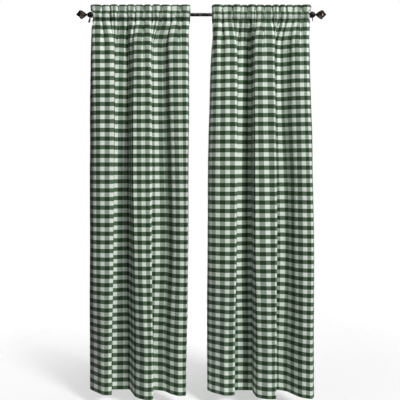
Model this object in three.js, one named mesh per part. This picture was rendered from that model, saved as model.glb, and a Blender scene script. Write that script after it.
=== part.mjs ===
// A pair of checked curtain panels gathered on a decorative rod, in millimetres.
// X runs along the rod, Y goes into the wall and Z is up. The origin is on the wall,
// midway between the tips of the rod and level with its axis.
import * as THREE from 'three';

// Heading: a ruffle above the rod, a pocket around it, then the hanging body
const clothWidth = 1067;
const curtainLength = 2134;
const ruffleHeight = 38;
const pocketHeight = 43;
const pocketSeam = ruffleHeight + pocketHeight;
const rodBelowTop = 53;
const clothThickness = 1.5;
const seamDepth = 0.8;

// Rod and its fittings
const rodRadius = 9.5;
const rodOut = 100;
const rodHalfLength = 618;
const fit = 0.3;
const socketFrom = 597;
const socketLength = 21;
const socketBore = 10.2;
const socketRadius = 17;
const stemHalf = 4.2;
const plateMiddle = 592;
const plateWidth = 19;
const plateHeight = 64;
const plateThickness = 4;
const armMiddle = 604;
const armThickness = 6;
const armHeight = 12;
const beadLength = 7;
const finialLength = 62.4;
const finialTwist = THREE.MathUtils.degToRad(55);
const roundSides = 20;

// The panel's side edges draw in beside the socket and, a little less, beside the thumbscrew
const edgeAt = [20, 36, 72, 88, 104, 126];
const edgeLimit = [640, 594, 594, 601, 601, 640];
const edgeClear = 15;

const cottonGreen = new THREE.MeshStandardMaterial({ color: 0x6f8f78, roughness: 0.9, metalness: 0 });
const darkBronze = new THREE.MeshStandardMaterial({ color: 0x1c1511, roughness: 0.35, metalness: 0.85 });

// Heights at which the folds are given, measured down from the top edge
const foldLevels = [pocketSeam, 230, 1345, 1900];

// Each turn of the cloth: how much cloth lies left of it, then where it is along the rod
// and how far out from the wall, at the shoulder, the middle and the hem.
const leftPanel = {
  name: 'panel_left',
  from: -608,
  gathers: [62, 44, 47, 47, 44, 48, 45, 50, 55, 50, 55],
  turns: [
    { turn: 'left edge', cloth: 0, x: [-615, -613, -622], out: [76, 104, 44] },
    { turn: 'left crest begins', cloth: 40, x: [-588, -579, -581], out: [104, 138, 88] },
    { turn: 'left crest middle', cloth: 108, x: [-523, -516, -522], out: [114, 150, 130] },
    { turn: 'left crest ends', cloth: 155, x: [-475, -475, -490], out: [113, 148, 122] },
    { turn: 'under left crest', cloth: 240, x: [-486, -515, -524], out: [94, 106, 87] },
    { turn: 'first valley begins', cloth: 325, x: [-471, -489, -495], out: [72, 62, 50] },
    { turn: 'first valley ends', cloth: 402, x: [-414, -414, -409], out: [56, 48, 46] },
    { turn: 'first rise', cloth: 464, x: [-394, -387, -381], out: [86, 108, 98] },
    { turn: 'centre crest begins', cloth: 527, x: [-371, -362, -353], out: [124, 158, 158] },
    { turn: 'centre crest middle', cloth: 588, x: [-316, -309, -294], out: [130, 166, 198] },
    { turn: 'centre crest ends', cloth: 647, x: [-274, -268, -260], out: [127, 163, 188] },
    { turn: 'under centre crest', cloth: 727, x: [-285, -298, -289], out: [102, 110, 115] },
    { turn: 'second valley begins', cloth: 807, x: [-271, -268, -277], out: [78, 70, 54] },
    { turn: 'second valley middle', cloth: 876, x: [-219, -201, -214], out: [64, 66, 70] },
    { turn: 'second rise', cloth: 908, x: [-192, -173, -187], out: [88, 98, 94] },
    { turn: 'right crest begins', cloth: 938, x: [-167, -149, -163], out: [110, 126, 120] },
    { turn: 'right crest middle', cloth: 988, x: [-116, -105, -115], out: [115, 140, 144] },
    { turn: 'right crest ends', cloth: 1024, x: [-84, -80, -83], out: [115, 142, 137] },
    { turn: 'right edge', cloth: clothWidth, x: [-63, -73, -80], out: [76, 108, 98] },
  ],
};
const rightPanel = {
  name: 'panel_right',
  from: 59,
  gathers: [59, 52, 49, 35, 49, 43, 43, 40, 38, 41, 41, 55],
  turns: [
    { turn: 'left edge', cloth: 0, x: [51, 34, 34], out: [58, 94, 50] },
    { turn: 'left edge rises', cloth: 38, x: [67, 48, 48], out: [84, 126, 78] },
    { turn: 'left crest begins', cloth: 88, x: [96, 88, 89], out: [102, 150, 110] },
    { turn: 'left crest middle', cloth: 138, x: [144, 141, 136], out: [108, 160, 138] },
    { turn: 'left crest ends', cloth: 198, x: [195, 191, 182], out: [107, 158, 124] },
    { turn: 'under left crest', cloth: 262, x: [186, 168, 162], out: [86, 122, 88] },
    { turn: 'first valley begins', cloth: 325, x: [212, 196, 205], out: [62, 86, 58] },
    { turn: 'first valley ends', cloth: 402, x: [278, 277, 280], out: [50, 70, 62] },
    { turn: 'first rise', cloth: 464, x: [284, 282, 288], out: [86, 114, 104] },
    { turn: 'centre crest begins', cloth: 525, x: [292, 294, 304], out: [126, 162, 162] },
    { turn: 'centre crest middle', cloth: 588, x: [344, 361, 367], out: [134, 170, 188] },
    { turn: 'centre crest ends', cloth: 647, x: [401, 407, 403], out: [131, 168, 181] },
    { turn: 'under centre crest', cloth: 727, x: [394, 391, 390], out: [110, 106, 107] },
    { turn: 'second valley begins', cloth: 807, x: [408, 425, 419], out: [86, 52, 52] },
    { turn: 'second valley ends', cloth: 860, x: [444, 476, 465], out: [82, 64, 70] },
    { turn: 'second rise', cloth: 912, x: [480, 504, 499], out: [102, 102, 112] },
    { turn: 'right crest begins', cloth: 938, x: [500, 518, 515], out: [118, 124, 136] },
    { turn: 'right crest middle', cloth: 988, x: [549, 564, 554], out: [130, 146, 172] },
    { turn: 'right crest ends', cloth: 1038, x: [582, 604, 592], out: [131, 152, 182] },
    { turn: 'right edge', cloth: clothWidth, x: [600, 616, 610], out: [108, 134, 154] },
  ],
};

// How deep the gathers are down the cloth, as a share of the ruffle's
const gatherAt = [0, ruffleHeight, pocketSeam, 120, 230, 400, 900, 1400];
const gatherShare = [1, 0.5, 0.5, 0.75, 0.5, 0.3, 0.1, 0];
// Half the opening of the pocket around the rod, down from its upper seam
const pocketAt = [ruffleHeight, 42, 53, 66, pocketSeam];
const pocketOpen = [0, 9, 13.5, 9, 0];
const pocketGatherShare = 0.3;
const columnsPerGather = 6;
const gatherRounding = 0.5;
const gatherDepth = 0.18;
// The higher this power, the flatter the gathers where a fold turns back
const flattening = 6;
const mostFullness = 2.2;
const unevenness = 0.4;
const headingRows = [0, 19, ruffleHeight, 42, 53, 66, pocketSeam];
const bodyRows = [98, 125, 170, 230, 330, 480, 700, 1000, 1345, 1650, 1900];
const rowsDown = [...headingRows, ...bodyRows, curtainLength];

// Smooth curve through the values without overshoot
function smoothThrough(places, values, at) {
  const last = places.length - 1;
  if (at <= places[0]) return values[0];
  if (at >= places[last]) return values[last];
  const slope = (k) => (values[k + 1] - values[k]) / (places[k + 1] - places[k]);
  const tangent = (k) => {
    if (k === 0) return slope(0);
    if (k === last) return slope(last - 1);
    const before = slope(k - 1);
    const after = slope(k);
    return before * after > 0 ? (2 * before * after) / (before + after) : 0;
  };
  const k = places.findIndex((place) => place > at) - 1;
  const span = places[k + 1] - places[k];
  const t = (at - places[k]) / span;
  const bow = t * (1 - t);
  const ease = t * t * (3 - 2 * t);
  const rise = values[k] + (values[k + 1] - values[k]) * ease;
  return rise + span * bow * ((1 - t) * tangent(k) - t * tangent(k + 1));
}

function straightThrough(places, values, at) {
  const next = places.findIndex((place) => place > at);
  const k = next < 0 ? places.length - 1 : Math.max(next, 1);
  const t = (at - places[k - 1]) / (places[k] - places[k - 1]);
  return values[k - 1] + (values[k] - values[k - 1]) * t;
}

// One column for each step of a gather, with the cloth that lies left of it
function clothColumns(panel) {
  const width = panel.gathers.reduce((sum, gather) => sum + gather, 0);
  const cloth = panel.turns.map((turn) => turn.cloth);
  const alongRod = panel.turns.map((turn) => {
    const even = panel.from + (width * turn.cloth) / clothWidth;
    return even + (turn.x[0] - even) * unevenness;
  });
  alongRod[0] = panel.from;
  alongRod[alongRod.length - 1] = panel.from + width;
  const columns = [];
  let start = panel.from;
  panel.gathers.forEach((gather, g) => {
    const taken = straightThrough(alongRod, cloth, start + gather) - straightThrough(alongRod, cloth, start);
    const fullness = Math.min(taken / gather, mostFullness);
    const steps = g === panel.gathers.length - 1 ? columnsPerGather + 1 : columnsPerGather;
    for (let s = 0; s < steps; s += 1) {
      const share = s / columnsPerGather;
      const rodX = start + gather * share;
      columns.push({
        rodX,
        cloth: straightThrough(alongRod, cloth, rodX),
        turn: 2 * Math.PI * share,
        bunch: (gatherRounding * gather) / (2 * Math.PI),
        depth: gatherDepth * gather * Math.sqrt(Math.max(fullness * fullness - 1, 0.4)),
      });
    }
    start += gather;
  });
  return columns;
}

// The line of the folds across one row, before the gathers are added; y is out from the wall
function foldLine(panel, columns, down) {
  const cloth = panel.turns.map((turn) => turn.cloth);
  return columns.map((column) => {
    const across = [column.rodX];
    const out = [rodOut];
    for (let level = 0; level < 3; level += 1) {
      across.push(smoothThrough(cloth, panel.turns.map((turn) => turn.x[level]), column.cloth));
      out.push(smoothThrough(cloth, panel.turns.map((turn) => turn.out[level]), column.cloth));
    }
    return new THREE.Vector2(smoothThrough(foldLevels, across, down), smoothThrough(foldLevels, out, down));
  });
}

// The way the line runs at one column, and how nearly straight it is over one gather
function wayOf(line, c) {
  const reach = columnsPerGather / 2;
  const before = line[Math.max(c - reach, 0)];
  const after = line[Math.min(c + reach, line.length - 1)];
  const way = after.clone().sub(before);
  const straight = way.length() / (line[c].distanceTo(before) + line[c].distanceTo(after));
  return { way: way.normalize(), straight };
}

// Middle of the cloth across one row; side is 1 for the pocket's front layer, -1 for its back.
// The gathers stand out square to the folds and flatten where a fold turns back.
function clothRow(panel, columns, down, side) {
  const line = foldLine(panel, columns, down);
  const shoulder = foldLine(panel, columns, foldLevels[1]);
  const open = smoothThrough(pocketAt, pocketOpen, down);
  const inPocket = Math.min(1, open / pocketOpen[1]);
  const usual = smoothThrough(gatherAt, gatherShare, down);
  const share = usual + (pocketGatherShare - usual) * inPocket;
  return columns.map((column, c) => {
    const { way, straight } = wayOf(line, c);
    const hanging = down > pocketSeam;
    const flat = (hanging ? Math.min(straight, wayOf(shoulder, c).straight) : straight) ** flattening;
    const depth = column.depth * share * flat;
    const bunch = column.bunch * (hanging ? share * share : share) * flat;
    const forth = -bunch * Math.sin(column.turn);
    const proud = -depth * Math.cos(column.turn);
    const x = line[c].x + forth * way.x - proud * way.y;
    const out = line[c].y + forth * way.y + proud * way.x + side * (open + depth * inPocket);
    return new THREE.Vector3(drawnIn(x, down), -out, rodBelowTop - down);
  });
}

// Keeps the edges beside the rod's fittings, at the pocket
function drawnIn(x, down) {
  const free = smoothThrough(edgeAt, edgeLimit, down) - edgeClear;
  const beyond = Math.abs(x) - free;
  if (beyond <= 0) return x;
  return Math.sign(x) * (free + edgeClear * Math.tanh(beyond / edgeClear));
}

// The two faces of one layer of cloth, moved apart along the normals of its middle
function facesOf(middle, thickness) {
  const lastRow = middle.length - 1;
  const front = [];
  const back = [];
  middle.forEach((row, r) => {
    front.push([]);
    back.push([]);
    row.forEach((point, c) => {
      const along = row[Math.min(c + 1, row.length - 1)].clone().sub(row[Math.max(c - 1, 0)]);
      const up = middle[Math.max(r - 1, 0)][c].clone().sub(middle[Math.min(r + 1, lastRow)][c]);
      const normal = along.cross(up).normalize();
      const half = thickness[r] / 2;
      front[r].push(point.clone().addScaledVector(normal, half));
      back[r].push(point.clone().addScaledVector(normal, -half));
    });
  });
  return { front, back };
}

// One closed body: ruffle of two layers, an open pocket for the rod, and the hanging body
function panelGeometry(panel) {
  const columns = clothColumns(panel);
  const middleOf = (side) => rowsDown.map((down) => clothRow(panel, columns, down, side));
  const layersAt = (down) => (down <= ruffleHeight || down === pocketSeam ? 2 : 1);
  const thickness = rowsDown.map((down) => layersAt(down) * clothThickness);
  const frontLayer = facesOf(middleOf(1), thickness);
  const backLayer = facesOf(middleOf(-1), thickness);
  const upperSeam = rowsDown.indexOf(ruffleHeight);
  const lowerSeam = rowsDown.indexOf(pocketSeam);
  const inPocket = (r) => r > upperSeam && r < lowerSeam;
  const places = [];
  const indices = [];
  const placed = (point) => places.push(point.x, point.y, point.z) / 3 - 1;
  const numbered = (rows) => rows.map((row) => row.map(placed));
  const front = numbered(frontLayer.front);
  const back = numbered(rowsDown.map((down, r) => (inPocket(r) ? backLayer.back[r] : frontLayer.back[r])));
  const seamLine = (r, drop) => {
    const line = clothRow(panel, columns, rowsDown[r], 0);
    return line.map((point) => placed(point.setZ(point.z - drop)));
  };
  const upperLine = seamLine(upperSeam, seamDepth);
  const lowerLine = seamLine(lowerSeam, -seamDepth);
  const tunnelFront = [];
  const tunnelBack = [];
  for (let r = upperSeam; r <= lowerSeam; r += 1) {
    const line = r === upperSeam ? upperLine : lowerLine;
    tunnelFront.push(inPocket(r) ? frontLayer.back[r].map(placed) : line);
    tunnelBack.push(inPocket(r) ? backLayer.front[r].map(placed) : line);
  }
  const quad = (a, b, c, d) => indices.push(a, b, c, a, c, d);
  const skin = (rows, turned) => {
    for (let r = 0; r + 1 < rows.length; r += 1) {
      for (let c = 0; c + 1 < columns.length; c += 1) {
        const [a, b, d, e] = [rows[r][c], rows[r + 1][c], rows[r + 1][c + 1], rows[r][c + 1]];
        if (turned) quad(a, e, d, b);
        else quad(a, b, d, e);
      }
    }
  };
  skin(front, false);
  skin(back, true);
  skin(tunnelFront, true);
  skin(tunnelBack, false);
  const strip = (one, other) => {
    for (let k = 0; k + 1 < one.length; k += 1) quad(one[k], other[k], other[k + 1], one[k + 1]);
  };
  strip(back[0], front[0]);
  strip(front[front.length - 1], back[back.length - 1]);
  const edge = (rows, c, from, to) => rows.slice(from, to + 1).map((row) => row[c]);
  [0, columns.length - 1].forEach((c, end) => {
    const close = (one, other) => (end === 0 ? strip(one, other) : strip(other, one));
    const last = rowsDown.length - 1;
    close(edge(front, c, 0, upperSeam), edge(back, c, 0, upperSeam));
    close(edge(front, c, lowerSeam, last), edge(back, c, lowerSeam, last));
    close(edge(front, c, upperSeam, lowerSeam), edge(tunnelFront, c, 0, last));
    close(edge(tunnelBack, c, 0, last), edge(back, c, upperSeam, lowerSeam));
    [[upperSeam, upperLine], [lowerSeam, lowerLine]].forEach(([r, line], seam) => {
      const corner = [back[r][c], line[c], front[r][c]];
      if ((end === 0) !== (seam === 0)) corner.reverse();
      indices.push(...corner);
    });
  });
  const geometry = new THREE.BufferGeometry();
  geometry.setAttribute('position', new THREE.Float32BufferAttribute(places, 3));
  geometry.setIndex(indices);
  geometry.computeVertexNormals();
  return geometry;
}

// A turned piece whose axis lies along the rod; the profile gives [radius, distance] pairs
function turnedAlongRod(profile, side) {
  const points = profile.map(([radius, along]) => new THREE.Vector2(radius, along));
  const geometry = new THREE.LatheGeometry(points, roundSides);
  geometry.rotateZ((-side * Math.PI) / 2);
  return geometry;
}

function rodGeometry() {
  const geometry = new THREE.CylinderGeometry(rodRadius, rodRadius, 2 * rodHalfLength, roundSides);
  return geometry.rotateZ(Math.PI / 2);
}

// The bracket's socket: a barrel-shaped ring that the rod passes through
function socketGeometry(side) {
  const end = socketFrom + socketLength;
  const profile = [
    [socketBore, socketFrom],
    [14.5, socketFrom],
    [16, socketFrom + 1.5],
    [socketRadius, socketFrom + 7],
    [socketRadius, end - 7],
    [16, end - 1.5],
    [14.5, end],
    [socketBore, end],
    [socketBore, socketFrom],
  ];
  return turnedAlongRod(profile, side);
}

// The bead between the end of the rod and the finial
function beadGeometry(side) {
  const start = rodHalfLength + fit;
  const profile = [[0, start], [10.5, start], [12.6, start + 1.5], [13, start + 3.5]];
  profile.push([12.6, start + 5.5], [10, start + beadLength], [0, start + beadLength]);
  return turnedAlongRod(profile, side);
}

// A four-sided spearhead whose square section turns as it goes out to the tip
function finialGeometry(side) {
  const stations = [
    { along: 0, corner: 6.5 },
    { along: 3, corner: 5.4 },
    { along: 7, corner: 7 },
    { along: 14, corner: 13 },
    { along: 23, corner: 19 },
    { along: 32, corner: 24 },
    { along: 38, corner: 26.5 },
    { along: 42, corner: 25 },
    { along: 49, corner: 17 },
    { along: 56, corner: 9 },
    { along: 60, corner: 4 },
  ];
  const start = rodHalfLength + fit + beadLength + fit;
  const around = 8;
  const places = [];
  const indices = [];
  stations.forEach(({ along, corner }) => {
    for (let k = 0; k < around; k += 1) {
      const radius = k % 2 === 0 ? corner : corner * 0.74;
      const angle = (2 * Math.PI * k) / around + finialTwist * (along / finialLength);
      places.push(side * (start + along), radius * Math.cos(angle), radius * Math.sin(angle));
    }
  });
  const neck = places.push(side * start, 0, 0) / 3 - 1;
  const tip = places.push(side * (start + finialLength), 0, 0) / 3 - 1;
  const face = (a, b, c) => (side > 0 ? indices.push(a, b, c) : indices.push(a, c, b));
  for (let k = 0; k < around; k += 1) {
    const next = (k + 1) % around;
    for (let s = 0; s + 1 < stations.length; s += 1) {
      const here = s * around;
      const there = here + around;
      face(here + k, here + next, there + next);
      face(here + k, there + next, there + k);
    }
    const end = (stations.length - 1) * around;
    face(neck, next, k);
    face(tip, end + k, end + next);
  }
  const geometry = new THREE.BufferGeometry();
  geometry.setAttribute('position', new THREE.Float32BufferAttribute(places, 3));
  geometry.setIndex(indices);
  geometry.computeVertexNormals();
  return geometry;
}

// A flat bar that leaves the plate square to the wall and bends out to the socket
function armGeometry(side) {
  const reach = rodOut - socketRadius - fit;
  const start = plateThickness + fit;
  const steps = 10;
  const edgeOf = (offset) => Array.from({ length: steps + 1 }, (_, k) => {
    const t = k / steps;
    const bend = t * t * (3 - 2 * t);
    const x = plateMiddle + (armMiddle - plateMiddle) * bend + offset;
    return new THREE.Vector2(side * x, -(start + (reach - start) * t));
  });
  const outline = [...edgeOf(-armThickness / 2), ...edgeOf(armThickness / 2).reverse()];
  if (side < 0) outline.reverse();
  const shape = new THREE.Shape(outline);
  const geometry = new THREE.ExtrudeGeometry(shape, { depth: armHeight, bevelEnabled: false });
  return geometry.translate(0, 0, -armHeight / 2);
}

function roundedPlate(width, height, corner) {
  const x = width / 2;
  const z = height / 2;
  const shape = new THREE.Shape();
  shape.moveTo(-x + corner, -z);
  shape.lineTo(x - corner, -z);
  shape.absarc(x - corner, -z + corner, corner, -Math.PI / 2, 0, false);
  shape.absarc(x - corner, z - corner, corner, 0, Math.PI / 2, false);
  shape.absarc(-x + corner, z - corner, corner, Math.PI / 2, Math.PI, false);
  shape.absarc(-x + corner, -z + corner, corner, Math.PI, (3 * Math.PI) / 2, false);
  return shape;
}

function plateGeometry() {
  const bevel = 0.8;
  const shape = roundedPlate(plateWidth - 2 * bevel, plateHeight - 2 * bevel, 5);
  const settings = { depth: plateThickness - 2 * bevel, bevelThickness: bevel, bevelSize: bevel };
  const geometry = new THREE.ExtrudeGeometry(shape, { ...settings, bevelSegments: 1, curveSegments: 4 });
  return geometry.translate(0, 0, bevel).rotateX(Math.PI / 2);
}

// The domed head of a screw that holds the plate, with its flat side to the plate
function screwHeadGeometry() {
  const profile = [[0, 0], [4, 0], [3.8, 1], [2.4, 2.3], [0, 2.8]];
  const points = profile.map(([radius, along]) => new THREE.Vector2(radius, along));
  return new THREE.LatheGeometry(points, 12).rotateX(Math.PI);
}

// A spade-shaped thumbscrew that hangs below the socket, its stem's top at the origin
function thumbscrewGeometry(stem) {
  const shape = new THREE.Shape();
  const spade = 5.5;
  const long = 10;
  shape.moveTo(-stemHalf, 0);
  shape.lineTo(-stemHalf, -stem);
  shape.quadraticCurveTo(-spade, -stem - 2, -spade, -stem - 5);
  shape.lineTo(-spade, -stem - long);
  shape.absarc(0, -stem - long, spade, Math.PI, 2 * Math.PI, false);
  shape.lineTo(spade, -stem - 5);
  shape.quadraticCurveTo(spade, -stem - 2, stemHalf, -stem);
  shape.lineTo(stemHalf, 0);
  const thick = 5;
  const geometry = new THREE.ExtrudeGeometry(shape, { depth: thick, bevelEnabled: false, curveSegments: 6 });
  return geometry.translate(0, 0, -thick / 2).rotateX(Math.PI / 2);
}

const group = new THREE.Group();
const rodLine = new THREE.Group();
rodLine.position.set(0, -rodOut, 0);
group.add(rodLine);

function place(parent, name, geometry, material) {
  const mesh = new THREE.Mesh(geometry, material);
  mesh.name = name;
  parent.add(mesh);
  return mesh;
}

[leftPanel, rightPanel].forEach((panel) => place(group, panel.name, panelGeometry(panel), cottonGreen));
place(rodLine, 'rod', rodGeometry(), darkBronze);

// The left thumbscrew hangs half out and shows its face; the right one is turned home, edge on
const ends = [
  { end: 'left', side: -1, lean: 14, turned: 0, stem: 11 },
  { end: 'right', side: 1, lean: 0, turned: 90, stem: 3 },
];
ends.forEach(({ end, side, lean, turned, stem }) => {
  place(rodLine, `socket_${end}`, socketGeometry(side), darkBronze);
  place(rodLine, `bead_${end}`, beadGeometry(side), darkBronze);
  place(rodLine, `finial_${end}`, finialGeometry(side), darkBronze);
  place(group, `arm_${end}`, armGeometry(side), darkBronze);
  const plate = place(group, `plate_${end}`, plateGeometry(), darkBronze);
  plate.position.set(side * plateMiddle, 0, 0);
  [['upper', 1], ['lower', -1]].forEach(([where, way]) => {
    const screw = place(group, `screw_${end}_${where}`, screwHeadGeometry(), darkBronze);
    screw.position.set(side * plateMiddle, -plateThickness - fit, (way * plateHeight) / 3);
  });
  const thumbscrew = place(rodLine, `thumbscrew_${end}`, thumbscrewGeometry(stem), darkBronze);
  const leanAngle = THREE.MathUtils.degToRad(lean);
  thumbscrew.rotation.set(0, -side * leanAngle, THREE.MathUtils.degToRad(turned));
  const below = socketRadius + 2 * fit + stemHalf * Math.sin(leanAngle);
  thumbscrew.position.set(side * (socketFrom + socketLength * 0.68), 0, -below);
});

export default group;
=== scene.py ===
import math

import bpy
import numpy as np
from mathutils import Matrix, Vector


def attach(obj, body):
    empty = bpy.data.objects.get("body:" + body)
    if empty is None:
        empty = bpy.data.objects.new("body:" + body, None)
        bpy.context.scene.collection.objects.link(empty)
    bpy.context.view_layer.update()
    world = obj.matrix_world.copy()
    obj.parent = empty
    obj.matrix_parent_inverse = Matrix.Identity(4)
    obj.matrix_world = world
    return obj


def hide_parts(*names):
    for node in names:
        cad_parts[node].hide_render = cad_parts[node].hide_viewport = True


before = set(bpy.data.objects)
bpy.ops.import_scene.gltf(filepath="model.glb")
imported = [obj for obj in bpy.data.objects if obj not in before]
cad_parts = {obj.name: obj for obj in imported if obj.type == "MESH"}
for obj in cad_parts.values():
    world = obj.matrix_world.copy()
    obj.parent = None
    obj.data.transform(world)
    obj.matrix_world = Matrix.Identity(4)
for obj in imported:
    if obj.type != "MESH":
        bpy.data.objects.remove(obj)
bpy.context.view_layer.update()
mm = 0.001

# Sizes of the sewn panel, in millimetres; down is measured from the top edge
curtain = {
    "width": 1067,
    "length": 2134,
    "ruffle": 38,
    "pocketSeam": 81,
    "rodBelowTop": 53,
    "rodOut": 100,
    "sideHem": 25,
    "bottomHem": 76,
    "cutSize": (1.118, 2.315),  # before hemming, in metres
    "layer": 0.55,
    "stepsPerGather": 21,
    "hemStep": 0.5,
    "seamDepth": 0.4,
    "ruffleLoft": 1.1,  # how far the fold at the top keeps its two layers apart
    "loftAt": (0, 3, 20, 38),
    "loftShare": (0.2, 1, 0.8, 0),
    "foldThinning": 0.6,
    "edgeShare": 0.3,  # the cloth's thickness right at the top and the hem, as a share
    "overRod": 6.5,  # how much longer the pocket's way around the rod is
    "overFold": 2.5,  # the same for the fold along the top
    "foldReach": 8,
    # Where each panel says how far its rows of check hang below their places in flat cloth
    "rowDropAt": (0, 38, 60, 100, 220, 357, 550, 825, 1100, 1375, 1650, 1870, 2134),
}

# The gathers: their depth fades down the cloth, and the pocket spreads them over the rod
gathering = {
    "at": (0, 38, 81, 120, 230, 400, 900, 1400),
    "share": (1.25, 0.6, 0.5, 0.95, 0.6, 0.3, 0.1, 0),
    "pocketAt": (38, 42, 53, 66, 81),
    "pocketOpen": (0, 9.5, 14, 9.5, 0),
    "pocketShare": 0.3,
    "rounding": 0.95,
    "depth": 0.15,
    "pinch": 1.9,  # above 1 the valleys between gathers are narrower than the crests
    "mostFullness": 2.2,
    "leastSlack": 0.4,
    "unevenness": 0.5,
    "flattening": 6,
    "foldLevels": (81, 230, 1345, 1900),
    "edgeAt": (20, 36, 72, 88, 104, 126),
    "edgeLimit": (640, 594, 594, 601, 601, 640),
    "edgeClear": 15,
}

# Each turn is a place in the folds: its name, the cloth to the left of it, then where it is
# along the rod and how far out from the wall, each at the shoulder, the middle and the hem
leftPanel = {
    "name": "curtainLeft",
    "node": "panel_left",
    "from": -608,
    "checkStart": 47,
    "seed": 11,
    "gathers": (62, 44, 47, 47, 44, 48, 45, 50, 55, 50, 55),
    "reach": (0.8, 0.6, 0.9, 1.5, 0.8, 0.7, 1.3, 0.9, 0.7, 1.1, 0.8),
    "dips": (3, 5, 5, 11, 6, 5, 9, 12, 6, 3, 3, 4),
    "rowDrop": (5, 5, 2, 0, -1, 1, 5, 10, 12, 15, 14, 8, 5),
    "turns": (
        ("left edge", 0, (-615, -613, -622), (76, 104, 44)),
        ("left crest begins", 40, (-588, -579, -581), (104, 138, 88)),
        ("left crest middle", 108, (-523, -516, -522), (114, 150, 130)),
        ("left crest ends", 155, (-475, -475, -490), (113, 148, 122)),
        ("under left crest", 240, (-486, -515, -524), (94, 106, 87)),
        ("first valley begins", 325, (-471, -489, -495), (72, 62, 50)),
        ("first valley ends", 402, (-414, -414, -409), (56, 48, 46)),
        ("first rise", 464, (-394, -387, -381), (86, 108, 98)),
        ("centre crest begins", 527, (-371, -362, -353), (124, 158, 158)),
        ("centre crest middle", 588, (-316, -309, -294), (130, 166, 198)),
        ("centre crest ends", 647, (-274, -268, -260), (127, 163, 188)),
        ("under centre crest", 727, (-285, -298, -289), (102, 110, 115)),
        ("second valley begins", 807, (-271, -268, -277), (78, 70, 54)),
        ("second valley middle", 876, (-219, -201, -214), (64, 66, 70)),
        ("second rise", 908, (-192, -173, -187), (88, 98, 94)),
        ("right crest begins", 938, (-167, -149, -163), (110, 126, 120)),
        ("right crest middle", 988, (-116, -105, -115), (115, 140, 144)),
        ("right crest ends", 1024, (-84, -80, -83), (115, 142, 137)),
        ("right edge", 1067, (-63, -73, -80), (76, 108, 98)),
    ),
}
rightPanel = {
    "name": "curtainRight",
    "node": "panel_right",
    "from": 59,
    "checkStart": 47,
    "seed": 29,
    "gathers": (59, 52, 49, 35, 49, 43, 43, 40, 38, 41, 41, 55),
    "reach": (0.9, 0.7, 0.8, 1.4, 0.7, 0.9, 1.2, 1.5, 0.8, 0.7, 1.0, 0.8),
    "dips": (4, 4, 5, 9, 5, 4, 6, 8, 10, 6, 8, 4, 4),
    "rowDrop": (10, 10, 9.5, 9.5, 11.5, 15, 20, 26, 30, 29, 23, 12, 7),
    "turns": (
        ("left edge", 0, (51, 34, 34), (58, 94, 50)),
        ("left edge rises", 38, (67, 48, 48), (84, 126, 78)),
        ("left crest begins", 88, (96, 88, 89), (102, 150, 110)),
        ("left crest middle", 138, (144, 141, 136), (108, 160, 138)),
        ("left crest ends", 198, (195, 191, 182), (107, 158, 124)),
        ("under left crest", 262, (186, 168, 162), (86, 122, 88)),
        ("first valley begins", 325, (212, 196, 205), (62, 86, 58)),
        ("first valley ends", 402, (278, 277, 280), (50, 70, 62)),
        ("first rise", 464, (284, 282, 288), (86, 114, 104)),
        ("centre crest begins", 525, (292, 294, 304), (126, 162, 162)),
        ("centre crest middle", 588, (344, 361, 367), (134, 170, 188)),
        ("centre crest ends", 647, (401, 407, 403), (131, 168, 181)),
        ("under centre crest", 727, (394, 391, 390), (110, 106, 107)),
        ("second valley begins", 807, (408, 425, 419), (86, 52, 52)),
        ("second valley ends", 860, (444, 476, 465), (82, 64, 70)),
        ("second rise", 912, (480, 504, 499), (102, 102, 112)),
        ("right crest begins", 938, (500, 518, 515), (118, 124, 136)),
        ("right crest middle", 988, (549, 564, 554), (130, 146, 172)),
        ("right crest ends", 1038, (582, 604, 592), (131, 152, 182)),
        ("right edge", 1067, (600, 616, 610), (108, 134, 154)),
    ),
}

# Single creases: the cloth to the left of each at its top and at its foot, how far down it
# starts and ends, its width and its depth
leftPanel["creases"] = (
    (28, 20, 60, 140, 6, 4),
    (360, 385, 80, 560, 9, 5),
    (940, 985, 62, 135, 7, 5),
    (962, 1012, 62, 140, 7, 5),
    (985, 1030, 75, 150, 7, 3),
)
rightPanel["creases"] = (
    (395, 400, 85, 380, 8, 5),
    (800, 815, 70, 420, 9, 5),
    (640, 655, 70, 180, 7, 4),
)

# Small unevenness of the cloth. Each kind has its height above the smooth form, the steps
# of its ripples along and down the cloth, and how far they lean.
relief = {
    "seamPucker": (1.5, 8, 900, 0),
    "pocketWrinkle": (3.0, 19, 26, 0.5),
    "underPocket": (2.2, 17, 120, -0.12),
    "bodyCrease": (2.6, 38, 330, 0),
    "slowWave": (3.5, 95, 430, 0),
    "fineWave": (0.5, 60, 45, 0),
    "hemPucker": (0.5, 9, 900, 0),
    "seamFade": 16,
    "hemFade": 9,
    "creaseFade": 15,
}


# Smooth curve through a table's values, without overshoot, at any number of places
def smooth(places, values, at):
    places = np.asarray(places, float)
    values = np.asarray(values, float)
    at = np.clip(np.asarray(at, float), places[0], places[-1])
    span = np.diff(places)
    slope = (np.diff(values, axis=0).T / span).T
    before, after = slope[:-1], slope[1:]
    rising = before * after > 0
    inner = np.divide(2 * before * after, before + after, out=np.zeros_like(before), where=rising)
    tangent = np.concatenate([slope[:1], inner, slope[-1:]])
    k = np.clip(np.searchsorted(places, at, side="right") - 1, 0, len(span) - 1)
    t = (at - places[k]) / span[k]
    wide = span[k]
    if values.ndim == 2:
        t = t[..., None]
        wide = wide[..., None]
    ease = t * t * (3 - 2 * t)
    rise = values[k] + (values[k + 1] - values[k]) * ease
    return rise + wide * t * (1 - t) * ((1 - t) * tangent[k] - t * tangent[k + 1])


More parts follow.
